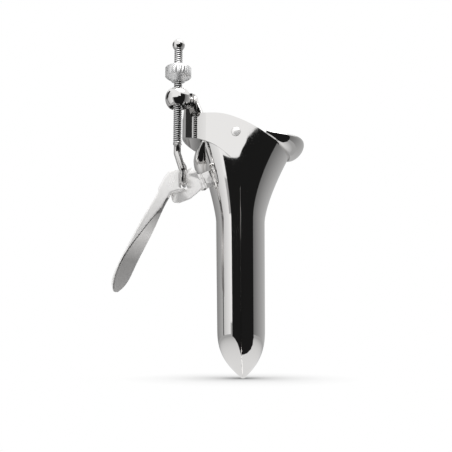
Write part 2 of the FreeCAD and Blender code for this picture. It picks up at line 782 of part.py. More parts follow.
def make_lever():
    """Thumb lever with its slotted head, which lies flat on the lever plate."""
    head = flat_plate("lever_head", HEAD_OUTLINE, "Sizes.lever_face", "Sizes.head_thickness")
    whole = joined("lever_whole", head, form("lever_blade", lever_blade()))
    return trimmed("thumb_lever", whole, slot_cutter("head_slot"), lever_pins("head_rivet_holes"))


def knuckle_axis():
    """Axis of the folding hinge: it follows the slope of the blade's back beside the plate."""
    plate_middle = size.head_thickness + 0.95 * size.plate_thickness
    low = HOOK + Vector(size.knuckle_right, plate_middle, -size.knuckle_below_hook)
    return low, Vector(-3.0, 0, 6.6).normalize()


def knuckle(name, low_share, high_share, radius, shorter):
    """Barrel round the folding hinge's axis between two shares of its length."""
    low, slope = knuckle_axis()
    start = low + slope * (low_share * size.knuckle_length + shorter)
    made = primitive("Cylinder", name, start, slope, Radius=radius)
    made.Height = (high_share - low_share) * size.knuckle_length - 2 * shorter
    return made


def make_plate():
    """Plate that carries the lever head, hinged to the mobile blade along its right edge."""
    plate = flat_plate(
        "plate_flat", PLATE_OUTLINE, "Sizes.lever_face - Sizes.head_thickness", "Sizes.plate_thickness"
    )
    clear = "Sizes.knuckle_radius + Sizes.knuckle_clearance"
    barrel = knuckle("plate_barrel", 1 / 3, 2 / 3, "Sizes.knuckle_radius", size.knuckle_gap)
    low_space = knuckle("low_space", 0, 1 / 3, clear, -size.knuckle_gap / 2)
    high_space = knuckle("high_space", 2 / 3, 1, clear, -size.knuckle_gap / 2)
    bore = knuckle("plate_pin_bore", -0.3, 1.3, "Sizes.knuckle_pin_radius + Sizes.pin_clearance", 0)
    whole = joined("plate_whole", plate, barrel)
    return trimmed(
        "lever_plate", whole, low_space, high_space, bore, slot_cutter("plate_slot"), lever_pins("plate_rivet_holes")
    )


def make_hinge_bracket(mobile_outer):
    """Two knuckles on a leaf that is soldered to the back of the mobile blade, and their pin."""
    low, slope = knuckle_axis()
    low_knuckle = knuckle("low_knuckle", 0, 1 / 3, "Sizes.knuckle_radius", 0)
    high_knuckle = knuckle("high_knuckle", 2 / 3, 1, "Sizes.knuckle_radius", 0)
    leaf = primitive(
        "Box", "leaf", low, slope, Length="Sizes.leaf_width", Width="Sizes.leaf_thickness",
        Height="Sizes.knuckle_length",
    )
    leaf.Placement.Base = low - ACROSS * size.leaf_thickness / 4
    space = knuckle("bracket_space", 1 / 3, 2 / 3, "Sizes.knuckle_radius + Sizes.knuckle_clearance", 0)
    bore = knuckle("bracket_pin_bore", -0.3, 1.3, "Sizes.knuckle_pin_radius", 0)
    whole = joined("bracket_whole", low_knuckle, high_knuckle, leaf)
    bracket = trimmed("hinge_bracket", whole, space, bore, mobile_outer)
    pin = knuckle("folding_hinge_pin", 0, 1, "Sizes.knuckle_pin_radius", -size.pin_overhang)
    return [bracket, pin]


def build():
    """Make every piece and return the ones that are parts of the instrument."""
    fixed_blade, yoke_outer = make_fixed_blade()
    mobile_blade, mobile_outer = make_mobile_blade()
    pieces = [fixed_blade, mobile_blade]
    pieces += hinge_hardware(-1, "near")
    pieces += hinge_hardware(1, "far")
    pieces += make_swivel(yoke_outer)
    pieces += [make_screw(), make_stop_ball(), make_nut()]
    pieces += [make_lever(), make_plate(), lever_pins("lever_rivets")]
    pieces += make_hinge_bracket(mobile_outer)
    doc.recompute()
    return pieces


parts = build()
print(f"stem axis {STEM.x:.4f} {STEM.y:.4f}, stand-off {STAND_OFF:.3f}")
for item in doc.Objects:
    if "Invalid" in item.State or "Error" in item.State:
        raise RuntimeError(f"{item.Label} failed: {item.State}")
for item in parts:
    if item.Shape.isNull() or not item.Shape.isValid():
        raise RuntimeError(f"{item.Label} has no valid shape")
os.makedirs("parts", exist_ok=True)
for item in parts:
    item.Shape.exportStep(f"parts/{item.Label}.step")
    solids = len(item.Shape.Solids)
    print(f"{item.Label}: {solids} solid(s), {item.Shape.Volume:.1f} mm3")
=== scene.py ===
"""Studio picture of a polished two-blade speculum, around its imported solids."""
import json
import math

import bmesh
import bpy
from mathutils import Matrix, Vector


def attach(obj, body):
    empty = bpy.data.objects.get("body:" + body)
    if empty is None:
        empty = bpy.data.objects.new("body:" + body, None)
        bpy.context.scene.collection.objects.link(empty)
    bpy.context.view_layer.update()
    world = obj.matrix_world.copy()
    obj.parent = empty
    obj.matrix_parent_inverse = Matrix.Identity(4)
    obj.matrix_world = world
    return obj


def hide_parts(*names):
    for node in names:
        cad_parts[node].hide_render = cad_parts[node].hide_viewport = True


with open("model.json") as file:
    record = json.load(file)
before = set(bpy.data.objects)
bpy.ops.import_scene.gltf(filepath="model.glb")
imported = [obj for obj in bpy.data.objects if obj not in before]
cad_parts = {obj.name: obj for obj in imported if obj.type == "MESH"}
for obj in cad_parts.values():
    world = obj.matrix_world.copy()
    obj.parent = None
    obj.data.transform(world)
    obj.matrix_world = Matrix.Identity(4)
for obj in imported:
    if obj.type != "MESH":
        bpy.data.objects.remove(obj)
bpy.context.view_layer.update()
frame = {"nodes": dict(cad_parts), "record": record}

MM = 0.001
SCREW_AXIS = (-28.4, -16.6)

# Camera, fitted to the photograph: it stands near the tip's height and looks up a little.
CAMERA_PLACE = (18.0, -300.0, 17.0)
CAMERA_PAN = 4.90
CAMERA_TILT = 9.83
FOCAL_PIXELS = 656.0
FRAME_PIXELS = 452.0
SENSOR = 36.0
NEAREST_SEEN = 0.01

# Angles in degrees up to which two faces are shaded as one smooth surface.
SMOOTH_SOLID = 35.0
SMOOTH_LEVER = 50.0
SMOOTH_SHEET = 60.0
SMOOTH_CUT = 30.0
SMOOTH_THREAD = 25.0


def mm(x, y, z):
    """Place or move given in millimetres."""
    return Vector((x, y, z)) * MM


def between(rows, spot):
    """Value at a spot in rows of (place, value), changing evenly from one row to the next."""
    for before, after in zip(rows, rows[1:]):
        if before[0] <= spot <= after[0]:
            share = (spot - before[0]) / (after[0] - before[0])
            return before[1] + share * (after[1] - before[1])
    return rows[-1][1]


def clear():
    """Go back to object mode with nothing selected."""
    if bpy.context.mode != "OBJECT":
        bpy.ops.object.mode_set(mode="OBJECT")
    bpy.ops.object.select_all(action="DESELECT")


def hold(piece):
    """Make a piece the active one and the only one selected."""
    clear()
    bpy.context.view_layer.objects.active = piece
    piece.select_set(True)


def edit_all():
    """Go into edit mode with the whole of the active piece selected."""
    bpy.ops.object.mode_set(mode="EDIT")
    bpy.ops.mesh.select_all(action="SELECT")


def smooth(angle):
    """Shade the held piece smooth, apart from edges sharper than an angle in degrees."""
    bpy.ops.object.shade_smooth_by_angle(angle=math.radians(angle))


def coat(piece, *materials):
    """Give a piece these materials and no others."""
    piece.data.materials.clear()
    for material in materials:
        piece.data.materials.append(material)


def finish_piece(piece, body, slot, *nodes):
    """Tie a finished piece to its body and hide the solids it stands for. The slot is not used."""
    clear()
    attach(piece, body)
    if nodes:
        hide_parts(*nodes)


def node(tree, kind, **sockets):
    """Add a shader node and set its input sockets by name."""
    made = tree.nodes.new(kind)
    for name, setting in sockets.items():
        made.inputs[name.replace("_", " ")].default_value = setting
    return made


def calc(tree, kind, first, second=None):
    """Result of a sum on one or two values, each a number or the output of another node."""
    made = tree.nodes.new("ShaderNodeMath")
    made.operation = kind
    for socket, entry in zip(made.inputs, (first, second)):
        if isinstance(entry, float):
            socket.default_value = entry
        elif entry is not None:
            tree.links.new(entry, socket)
    return made.outputs["Value"]


def ranged(tree, entry, start, end, low=0.0, high=1.0):
    """Value that runs from low to high while the entry runs from start to end."""
    made = node(tree, "ShaderNodeMapRange", From_Min=start, From_Max=end, To_Min=low, To_Max=high)
    tree.links.new(entry, made.inputs["Value"])
    return made.outputs["Result"]


def place_parts(tree):
    """The parts X, Y and Z of a point's place on its piece, in metres."""
    place = tree.nodes.new("ShaderNodeTexCoord")
    parts = tree.nodes.new("ShaderNodeSeparateXYZ")
    tree.links.new(place.outputs["Object"], parts.inputs["Vector"])
    return parts.outputs


def away_from(tree, parts, axis):
    """Offsets in X and Y from an upright axis, and the distance from it."""
    across = calc(tree, "SUBTRACT", parts["X"], axis[0] * MM)
    along = calc(tree, "SUBTRACT", parts["Y"], axis[1] * MM)
    across_square = calc(tree, "MULTIPLY", across, across)
    along_square = calc(tree, "MULTIPLY", along, along)
    return across, along, calc(tree, "SQRT", calc(tree, "ADD", across_square, along_square))


def relief(tree, height, strength, depth):
    """Raise the surface's shading by a height; depth is in millimetres."""
    bump = node(tree, "ShaderNodeBump", Strength=strength, Distance=depth * MM)
    tree.links.new(height, bump.inputs["Height"])
    tree.links.new(bump.outputs["Normal"], tree.nodes["Principled BSDF"].inputs["Normal"])


def tone(tree, colour):
    """Take the surface's colour from another node."""
    tree.links.new(colour, tree.nodes["Principled BSDF"].inputs["Base Color"])


SMOOTHEST = 0.02
CLOUD_RANGE = (0.3, 0.7)
FINE_GRAIN = 14.0
FINE_DEPTH = 0.05


def steel(name, colour, rough, spread, grain, scratch, stretch=(1.0, 1.0, 1.0), metal=1.0):
    """Steel whose roughness and fine relief vary a little from place to place.

    The roughness goes up and down by spread, in a cloudy pattern with grain patches to the metre.
    The relief has the strength scratch, and stretch draws both patterns out along an axis.
    """
    material = bpy.data.materials.new(name)
    material.use_nodes = True
    tree = material.node_tree
    shader = tree.nodes["Principled BSDF"]
    shader.inputs["Base Color"].default_value = (*colour, 1.0)
    shader.inputs["Metallic"].default_value = metal
    place = tree.nodes.new("ShaderNodeTexCoord")
    mapping = node(tree, "ShaderNodeMapping", Scale=stretch)
    tree.links.new(place.outputs["Object"], mapping.inputs["Vector"])
    cloud = node(tree, "ShaderNodeTexNoise", Scale=grain, Detail=4.0)
    tree.links.new(mapping.outputs["Vector"], cloud.inputs["Vector"])
    low = max(SMOOTHEST, rough - spread)
    roughness = ranged(tree, cloud.outputs["Fac"], *CLOUD_RANGE, low, rough + spread)
    tree.links.new(roughness, shader.inputs["Roughness"])
    fine = node(tree, "ShaderNodeTexNoise", Scale=grain * FINE_GRAIN, Detail=2.0)
    tree.links.new(mapping.outputs["Vector"], fine.inputs["Vector"])
    relief(tree, fine.outputs["Fac"], scratch, FINE_DEPTH)
    return material


# The lever's hollow side: the heights between which its painted reflections change, and the levels of that
# painted light and shade from foot to head.
HOLLOW_FOOT = 38.0
HOLLOW_HEAD = 80.0
HOLLOW_PAINTED_LEVELS = (
    (0.0, 0.50), (0.35, 0.42), (0.50, 0.72), (0.62, 1.0), (0.75, 0.72), (0.88, 0.30), (1.0, 0.20),
)
WARM_GREEN = 0.985
WARM_BLUE = 0.97


def hollow_painted_reflection_steel():
    """Brushed steel of the lever's hollow side with painted reflections: painted shade where it turns under
    the head and at its foot, a painted light band between.
    """
    material = steel(
        "hollow_painted_reflection_steel", (0.72, 0.70, 0.69), rough=0.34, spread=0.06, grain=160.0, scratch=0.2,
        stretch=(1.0, 1.0, 0.12), metal=0.7,
    )
    tree = material.node_tree
    ramp = tree.nodes.new("ShaderNodeValToRGB")
    for index, (spot, level) in enumerate(HOLLOW_PAINTED_LEVELS):
        if index > 1:
            ramp.color_ramp.elements.new(spot)
        ramp.color_ramp.elements[index].position = spot
        ramp.color_ramp.elements[index].color = (level, level * WARM_GREEN, level * WARM_BLUE, 1.0)
    # Painted reflections: the colour follows the height up the lever's hollow side.
    share = ranged(tree, place_parts(tree)["Z"], HOLLOW_FOOT * MM, HOLLOW_HEAD * MM)
    tree.links.new(share, ramp.inputs["Fac"])
    tone(tree, ramp.outputs["Color"])
    return material


# The nut's knurl: ridges lie outside the radius, in so many half turns round it and radians per metre up.
# Its grooves get painted shade, lightening to full colour at the height KNURL_LIT.
KNURL_RADIUS = 5.6
KNURL_TURNS = 22.0
KNURL_RISE = 3300.0
KNURL_DEPTH = 0.12
KNURL_SHADE = 0.35
KNURL_LIT = 0.45


def knurled_steel():
    """Turned steel with two crossed sets of fine ridges round the screw's axis, and painted shade in the
    grooves.
    """
    material = steel(
        "knurled_steel", (0.93, 0.92, 0.91), rough=0.28, spread=0.05, grain=200.0, scratch=0.1, metal=0.8,
    )
    tree = material.node_tree
    parts = place_parts(tree)
    across, along, away = away_from(tree, parts, SCREW_AXIS)
    turn = calc(tree, "MULTIPLY", calc(tree, "ARCTAN2", along, across), KNURL_TURNS)
    lift = calc(tree, "MULTIPLY", parts["Z"], KNURL_RISE)
    one_way = calc(tree, "ABSOLUTE", calc(tree, "SINE", calc(tree, "ADD", turn, lift)))
    other_way = calc(tree, "ABSOLUTE", calc(tree, "SINE", calc(tree, "SUBTRACT", turn, lift)))
    outer = calc(tree, "GREATER_THAN", away, KNURL_RADIUS * MM)
    height = calc(tree, "MULTIPLY", calc(tree, "MINIMUM", one_way, other_way), outer)
    level = calc(tree, "MAXIMUM", height, calc(tree, "SUBTRACT", 1.0, outer))
    # Painted shade: the colour darkens in the grooves between the ridges.
    tone(tree, ranged(tree, level, 0.0, KNURL_LIT, KNURL_SHADE, 1.0))
    relief(tree, height, 0.4, KNURL_DEPTH)
    return material


# Radii in millimetres of the thread's painted shade: darkest in the roots up to the first, gone on the
# crests from the second.
THREAD_PAINTED_SHADE_TO = 1.5
THREAD_BRIGHT_FROM = 1.85


def threaded_steel():
    """Turned steel with painted shade in the roots of the thread, bright on its crests."""
    material = steel("threaded_steel", (0.9, 0.9, 0.9), rough=0.20, spread=0.04, grain=200.0, scratch=0.05)
    tree = material.node_tree
    away = away_from(tree, place_parts(tree), SCREW_AXIS)[2]
    # Painted shade in the thread's roots.
    tone(tree, ranged(tree, away, THREAD_PAINTED_SHADE_TO * MM, THREAD_BRIGHT_FROM * MM, 0.05, 0.95))
    return material


POLISHED = steel("polished_steel", (0.80, 0.79, 0.78), rough=0.05, spread=0.025, grain=60.0, scratch=0.03)
SATIN = steel(
    "satin_steel", (0.93, 0.92, 0.91), rough=0.30, spread=0.04, grain=120.0, scratch=0.05,
    stretch=(1.0, 1.0, 0.15), metal=0.55,
)
# Dark steel that paints the dark reflection along the lever's ridge.
DARK_RIDGE_PAINTED = steel("dark_ridge_painted_steel", (0.20, 0.19, 0.19), rough=0.30, spread=0.05, grain=120.0, scratch=0.05)
TURNED = steel("turned_steel", (0.72, 0.71, 0.70), rough=0.16, spread=0.05, grain=200.0, scratch=0.1)
# The lever's hollow side, with its painted reflections.
HOLLOW_PAINTED_REFLECTION = hollow_painted_reflection_steel()
KNURLED = knurled_steel()
THREADED = threaded_steel()
FINISH = {"polished_steel": POLISHED, "satin_steel": SATIN, "turned_steel": TURNED}
SPECIAL = {"knurled_nut": KNURLED, "near_hinge_rivet": SATIN, "far_hinge_rivet": SATIN}


def smooth_copy(name):
    """Copy of a solid's mesh with its points merged and its round faces shaded smooth."""
    copy = frame["nodes"][name].copy()
    copy.data = frame["nodes"][name].data.copy()
    copy.name = name + "_finished"
    copy.parent = None
    bpy.context.collection.objects.link(copy)
    hold(copy)
    edit_all()
    bpy.ops.mesh.remove_doubles(threshold=0.000001)
    bpy.ops.object.mode_set(mode="OBJECT")
    smooth(SMOOTH_SOLID)
    return copy


def node_body(name):
    """Name of the body that a solid belongs to."""
    bodies = frame["record"]["behaviour"]["bodies"]
    return next(body for body, nodes in bodies.items() if name in nodes)


# The lever's ridge in its side view: (height, place across). The hollow lies to the right of it.
LEVER_RIDGE = (
    (37.0, -57.2), (42.0, -56.5), (46.0, -55.6), (50.0, -54.2), (55.0, -51.6), (60.0, -48.2), (70.0, -40.4),
    (76.0, -35.4), (80.0, -33.2),
)
LEVER_MESH = 0.28
HOLLOW_FACING = -0.2
# The strip of painted dark reflection beside the ridge: its width, and the height it starts from.
PAINTED_RIDGE_WIDTH = 0.32
PAINTED_RIDGE_FOOT = 50


def make_lever():
    """Thumb lever: the solid's shape on an even mesh, softened, with its hollow side brushed and given
    painted reflections, and a painted dark reflection along its ridge.
    """
    lever = smooth_copy("thumb_lever")
    combine(lever, smooth_copy("lever_rivets"), "UNION")
    even = lever.modifiers.new("even", "REMESH")
    even.mode = "VOXEL"
    even.voxel_size = LEVER_MESH * MM
    bpy.ops.object.modifier_apply(modifier="even")
    soft = lever.modifiers.new("soft", "SMOOTH")
    soft.factor = 0.5
    soft.iterations = 6
    bpy.ops.object.modifier_apply(modifier="soft")
    smooth(SMOOTH_LEVER)
    coat(lever, SATIN, HOLLOW_PAINTED_REFLECTION, DARK_RIDGE_PAINTED)
    for face in lever.data.polygons:
        across = face.center.x / MM
        height = face.center.z / MM
        if not LEVER_RIDGE[0][0] <= height <= LEVER_RIDGE[-1][0]:
            continue
        ridge = between(LEVER_RIDGE, height)
        # The hollow side gets its painted reflections, and a strip along the ridge a painted dark
        # reflection.
        if across > ridge and face.normal.x > HOLLOW_FACING:
            painted_dark_ridge = across < ridge + PAINTED_RIDGE_WIDTH and height > PAINTED_RIDGE_FOOT
            face.material_index = 2 if painted_dark_ridge else 1
    finish_piece(lever, "mobile", "satin_steel", "thumb_lever", "lever_rivets")


def dress_solids(names):
    """Give a smooth, finished copy to each solid whose own shape is right."""
    slots = {row["node"]: row["material_slot"] for row in frame["record"]["subparts"]}
    for name in names:
        piece = smooth_copy(name)
        coat(piece, SPECIAL.get(name, FINISH[slots[name]]))
        finish_piece(piece, node_body(name), slots[name], name)


# Sizes of the two sheet blades, in millimetres, the same as the solids.
SHEET = 1.2
NOSE = 21.5
FLARE_START = 71.0
FLARE_HEIGHT = 31.0
HINGE = (-1.7, 108.8)
CROWN = 120.6
YOKE_START = 12.2
YOKE_REACH = 28.5
SECTION_PROFILE = 0.547
EAR_PLACE = (-23.78, -11.77)
STEM = (-0.6907, -0.7231)
BALL_HEIGHT = 125.7

# Depth of a blade: at the tip, gained along the straight part, gained in the flare, and the flare's power.
FIXED_DEPTH = (9.8, 0.45, 11.6, 1.45)
MOBILE_DEPTH = (11.3, 0.9, 7.4, 1.3)

# Half width of the blades, and how far the mobile one is drawn in where it nests in the band.
TIP_WIDTH = 13.9
WIDTH_TAPER = 0.9
MOUTH_GAIN = 3.3
NESTING = 1.5
NESTING_START = 46.0
NESTING_RUN = 36.0

# Rings of a blade sheet: how many in the nose, in the straight part and above it, and how far up they go.
NOSE_RINGS = 18
BODY_RINGS = 10
FLARE_RINGS = 30
SHEET_RISE = 62.0
CORNER_STEPS = 16
SAME_HEIGHT = 1e-6
OFF_MIDDLE = 1e-9


def flare(height, power):
    """Share of the flare that is reached at a height."""
    return max(0.0, (height - FLARE_START) / FLARE_HEIGHT) ** power


def eased(share):
    """Share from 0 to 1 that starts and ends gently."""
    share = min(1.0, max(0.0, share))
    return share * share * (3.0 - 2.0 * share)


def nose(height):
    """How much of the full section is left at a height in the closed nose."""
    return 1.0 - 0.94 * max(0.0, 1.0 - height / NOSE) ** 2.55


def blade_depth(height, tip, taper, gain, power):
    """Depth of a blade from the seam outwards."""
    return tip + taper * height / FLARE_START + gain * flare(height, power)


def fixed_depth(height):
    return blade_depth(height, *FIXED_DEPTH)


def mobile_depth(height):
    return blade_depth(height, *MOBILE_DEPTH)


def yoke_depth(height):
    """Depth of the fixed sheet on the other blade's side, where it becomes the band."""
    return YOKE_START + (YOKE_REACH - YOKE_START) * eased(flare(height, 1.0))


def half_width(height):
    share = min(1.0, flare(height, 1.0))
    return TIP_WIDTH + WIDTH_TAPER * height / FLARE_START + MOUTH_GAIN * (1.0 - (1.0 - share) ** 1.6)


def nested_width(height):
    return half_width(height) - NESTING * eased((height - NESTING_START) / NESTING_RUN)


def pick(piece, test):
    """Select the points of a piece in edit mode whose place passes a test."""
    mesh = bmesh.from_edit_mesh(piece.data)
    for vert in mesh.verts:
        vert.select_set(bool(test(vert.co)))
    mesh.select_flush(True)
    mesh.select_flush_mode()
    bmesh.update_edit_mesh(piece.data)


def rounded_square(name):
    """Closed loop of edges in the shape of a rounded square, left in edit mode with all of it selected."""
    clear()
    bpy.ops.mesh.primitive_plane_add(size=2)
    made = bpy.context.object
    made.name = name
    edit_all()
    bpy.ops.mesh.bevel(
        offset=1.0, offset_type="OFFSET", segments=CORNER_STEPS, profile=SECTION_PROFILE,
        affect="VERTICES", clamp_overlap=False,
    )
    bpy.ops.mesh.select_all(action="SELECT")
    bpy.ops.mesh.remove_doubles(threshold=0.0001)
    bpy.ops.mesh.delete(type="ONLY_FACE")
    bpy.ops.mesh.select_all(action="SELECT")
    return made


def blade_shell(name, left, right, width):
    """Blade sheet drawn up ring by ring from the tip, each ring a rounded square scaled on each side."""
    heights = [NOSE * (step / NOSE_RINGS) ** 1.6 for step in range(NOSE_RINGS + 1)]
    heights += [NOSE + (FLARE_START - NOSE) * step / BODY_RINGS for step in range(1, BODY_RINGS + 1)]
    heights += [FLARE_START + SHEET_RISE * step / FLARE_RINGS for step in range(1, FLARE_RINGS + 1)]
    shell = rounded_square(name)
    sizes = (1.0, 1.0, 1.0)
    for index, height in enumerate(heights):
        here = height * MM
        if index:
            rise = (height - heights[index - 1]) * MM
            bpy.ops.mesh.extrude_region_move(TRANSFORM_OT_translate={"value": (0, 0, rise)})
        share = nose(height)
        wanted = (left(height) * share * MM, right(height) * share * MM, width(height) * share * MM)
        middle = (0, 0, here)
        bpy.ops.transform.resize(value=(1, wanted[2] / sizes[2], 1), center_override=middle)
        pick(shell, lambda spot: abs(spot.z - here) < SAME_HEIGHT and spot.x < -OFF_MIDDLE)
        bpy.ops.transform.resize(value=(wanted[0] / sizes[0], 1, 1), center_override=middle)
        pick(shell, lambda spot: abs(spot.z - here) < SAME_HEIGHT and spot.x > OFF_MIDDLE)
        bpy.ops.transform.resize(value=(wanted[1] / sizes[1], 1, 1), center_override=middle)
        pick(shell, lambda spot: abs(spot.z - here) < SAME_HEIGHT)
        sizes = wanted
    pick(shell, lambda spot: spot.z < SAME_HEIGHT)
    bpy.ops.mesh.edge_face_add()
    bpy.ops.mesh.poke()
    bpy.ops.mesh.select_all(action="SELECT")
    bpy.ops.mesh.normals_make_consistent(inside=False)
    bpy.ops.object.mode_set(mode="OBJECT")
    outward = sum(
        face.normal.x * face.center.x + face.normal.y * face.center.y for face in shell.data.polygons
    )
    if outward < 0:
        edit_all()
        bpy.ops.mesh.flip_normals()
        bpy.ops.object.mode_set(mode="OBJECT")
    solid = shell.modifiers.new("sheet", "SOLIDIFY")
    solid.thickness = SHEET * MM
    solid.offset = -1.0
    solid.use_even_offset = True
    bpy.ops.object.modifier_apply(modifier="sheet")
    smooth(SMOOTH_SHEET)
    return shell


def through(points, steps=8):
    """Smooth curve through a short list of points, as a longer list of points."""
    spots = [Vector(point) for point in points]
    line = [spots[0]]
    for index in range(len(spots) - 1):
        before = spots[max(index - 1, 0)]
        start, end = spots[index], spots[index + 1]
        after = spots[min(index + 2, len(spots) - 1)]
        for step in range(1, steps + 1):
            share = step / steps
            near = (end - before) / 2
            far = (after - start) / 2
            line.append(
                start * (2 * share ** 3 - 3 * share ** 2 + 1) + near * (share ** 3 - 2 * share ** 2 + share)
                + end * (3 * share ** 2 - 2 * share ** 3) + far * (share ** 3 - share ** 2)
            )
    return [tuple(spot) for spot in line]


def draw_line(name, start, moves):
    """Line of edges drawn move by move from a starting place, left in edit mode with all of it selected."""
    clear()
    bpy.ops.mesh.primitive_plane_add(size=0.001)
    made = bpy.context.object
    made.name = name
    edit_all()
    bpy.ops.mesh.merge(type="CENTER")
    bpy.ops.mesh.select_all(action="SELECT")
    bpy.ops.transform.translate(value=start)
    for move in moves:
        bpy.ops.mesh.extrude_region_move(TRANSFORM_OT_translate={"value": move})
    bpy.ops.mesh.select_all(action="SELECT")
    return made


def cutter(name, corners, way, reach):
    """Outline drawn point by point, filled and drawn out both ways along a direction."""
    moves = [mm(*after) - mm(*before) for before, after in zip(corners, corners[1:])]
    made = draw_line(name, mm(*corners[0]) - mm(*way) * reach, moves)
    bpy.ops.mesh.edge_face_add()
    bpy.ops.mesh.extrude_region_move(TRANSFORM_OT_translate={"value": mm(*way) * 2 * reach})
    bpy.ops.mesh.select_all(action="SELECT")
    bpy.ops.mesh.normals_make_consistent(inside=False)
    bpy.ops.object.mode_set(mode="OBJECT")
    return made


def combine(piece, tool, operation, crossed=False):
    """Join, cut or trim a piece with a tool, which is then removed.

    crossed is for a piece whose own sheet meets itself.
    """
    hold(piece)
    step = piece.modifiers.new("combine", "BOOLEAN")
    step.operation = operation
    step.solver = "EXACT"
    step.use_self = crossed
    step.object = tool
    bpy.ops.object.modifier_apply(modifier="combine")
    bpy.data.objects.remove(tool)


CUT_EDGE = 0.16
CUT_CORNER = 50.0
ON_SHEET = 0.93


def keep_shape(piece, source):
    """Soften the cut edges, then take the smooth shading of the sheet before it was cut."""
    hold(piece)
    edit_all()
    bpy.ops.mesh.remove_doubles(threshold=0.00012)
    bpy.ops.object.mode_set(mode="OBJECT")
    soft = piece.modifiers.new("soft", "BEVEL")
    soft.width = CUT_EDGE * MM
    soft.segments = 2
    soft.limit_method = "ANGLE"
    soft.angle_limit = math.radians(CUT_CORNER)
    soft.harden_normals = False
    bpy.ops.object.modifier_apply(modifier="soft")
    smooth(SMOOTH_CUT)
    group = piece.vertex_groups.new(name="sheet_faces")
    near = []
    for vertex in piece.data.vertices:
        found, _, normal, _ = source.closest_point_on_mesh(vertex.co)
        if found and normal.dot(vertex.normal) > ON_SHEET:
            near.append(vertex.index)
    group.add(near, 1.0, "REPLACE")
    take = piece.modifiers.new("take", "DATA_TRANSFER")
    take.object = source
    take.use_loop_data = True
    take.data_types_loops = {"CUSTOM_NORMAL"}
    take.loop_mapping = "POLYINTERP_NEAREST"
    take.vertex_group = "sheet_faces"
    bpy.ops.object.modifier_apply(modifier="take")
    bpy.data.objects.remove(source)


def copy_of(piece, name):
    twin = piece.copy()
    twin.data = piece.data.copy()
    twin.name = name
    bpy.context.collection.objects.link(twin)
    return twin


# Side views of the blades, in millimetres. Half the gap of the seam lies on each side of the middle.
HALF_SEAM = 0.06
BELOW_TIP = -2.0
SIDE_REACH = 30.0

# The band's edges: (share of the yoke's reach to the left, drop below the crown).
BAND_LOWER = ((0.084, 25.9), (0.337, 18.4), (0.635, 13.8), (0.877, 11.4), (1.105, 7.8))
BAND_UPPER = ((1.105, 0.0), (0.561, 1.7), (0.246, 3.1), (-0.053, 6.4))
BAND_SPLIT = 84.5
MOUTH_EDGE = [(8.4, 110.4)]
MOUTH_OUTER = (36.9, 91.7)

# The mobile blade's hinge wing.
WING_SPLIT = 84.0
WING_RADIUS = 6.0
WING_SHOULDER = [(-11.0, 111.6), (-17.0, 107.0)]
MOBILE_BACK = [(-17.9, 99.5), (-18.8, 94.6), (-34.0, 94.6)]

# The ear: half width of its foot, height of its straight foot, radius of its round top.
EAR_FOOT = 8.0
EAR_STEP = 3.0
EAR_RADIUS = 4.3
EAR_REACH = 6.0
EAR_DROP = 6.0


def band_line():
    """Side view of the fixed sheet: blade on the right, band to the left under its crowned top edge."""
    lower = [(-share * YOKE_REACH, CROWN - drop) for share, drop in BAND_LOWER]
    upper = [(-share * YOKE_REACH, CROWN - drop) for share, drop in BAND_UPPER]
    points = [(HALF_SEAM, BELOW_TIP)]
    points += through([(HALF_SEAM, BAND_SPLIT)] + lower)
    points += through(upper + MOUTH_EDGE)
    points += [MOUTH_OUTER, (MOUTH_OUTER[0], BELOW_TIP)]
    return [(x, 0.0, z) for x, z in points]


def mobile_line():
    """Side view of the mobile sheet: blade on the left and a round hinge wing at the top."""
    x, z = HINGE
    turns = [turn / 10 for turn in range(-4, 16)]
    points = [(-HALF_SEAM, BELOW_TIP)]
    points += through([(-HALF_SEAM, WING_SPLIT), (1.2, 92.0), (x + 5.2, z - 3.0)])
    points += [(x + WING_RADIUS * math.cos(turn), z + WING_RADIUS * math.sin(turn)) for turn in turns]
    points += through([(x, z + WING_RADIUS)] + WING_SHOULDER)
    points += MOBILE_BACK + [(MOBILE_BACK[-1][0], BELOW_TIP)]
    return [(x, 0.0, z) for x, z in points]


def ear_line():
    """Upright ear on the band, square to the ball's stem, with a round top."""
    across = Vector((-STEM[1], STEM[0], 0.0))
    up = Vector((0, 0, 1.0))
    foot = Vector((*EAR_PLACE, CROWN - EAR_DROP))
    top = Vector((*EAR_PLACE, BALL_HEIGHT))
    points = [foot - across * EAR_FOOT, foot + across * EAR_FOOT, foot + across * EAR_FOOT + up * EAR_STEP]
    for step in range(13):
        turn = math.radians(15 * step)
        points.append(top + across * EAR_RADIUS * math.cos(turn) + up * EAR_RADIUS * math.sin(turn))
    points.append(foot - across * EAR_FOOT + up * EAR_STEP)
    return [tuple(point) for point in points]


def make_blade(name, body, solid, left, width, view):
    """Sheet blade, drawn up whole, cut to its side view and softened at the cut edges."""
    sheet = blade_shell(name, left, fixed_depth, width)
    source = copy_of(sheet, name + "_source")
    combine(sheet, view, "INTERSECT", True)
    keep_shape(sheet, source)
    coat(sheet, POLISHED)
    finish_piece(sheet, body, "polished_steel", solid)


def make_blades():
    """The fixed blade with its band and ear, and the mobile blade with its hinge wings."""
    view = cutter("band_view", band_line(), (0, 1, 0), SIDE_REACH)
    combine(view, cutter("ear_view", ear_line(), (*STEM, 0), EAR_REACH), "UNION")
    make_blade("fixed_blade_sheet", "frame", "fixed_blade", yoke_depth, half_width, view)
    view = cutter("mobile_view", mobile_line(), (0, 1, 0), SIDE_REACH)
    make_blade("mobile_blade_sheet", "mobile", "mobile_blade", mobile_depth, nested_width, view)


def close_ends():
    """Fill the open ends of the piece in edit mode, turn its faces outwards and leave edit mode."""
    bpy.ops.mesh.select_all(action="DESELECT")
    bpy.ops.mesh.select_non_manifold()
    bpy.ops.mesh.fill_holes(sides=0)
    bpy.ops.mesh.select_all(action="SELECT")
    bpy.ops.mesh.normals_make_consistent(inside=False)
    bpy.ops.object.mode_set(mode="OBJECT")


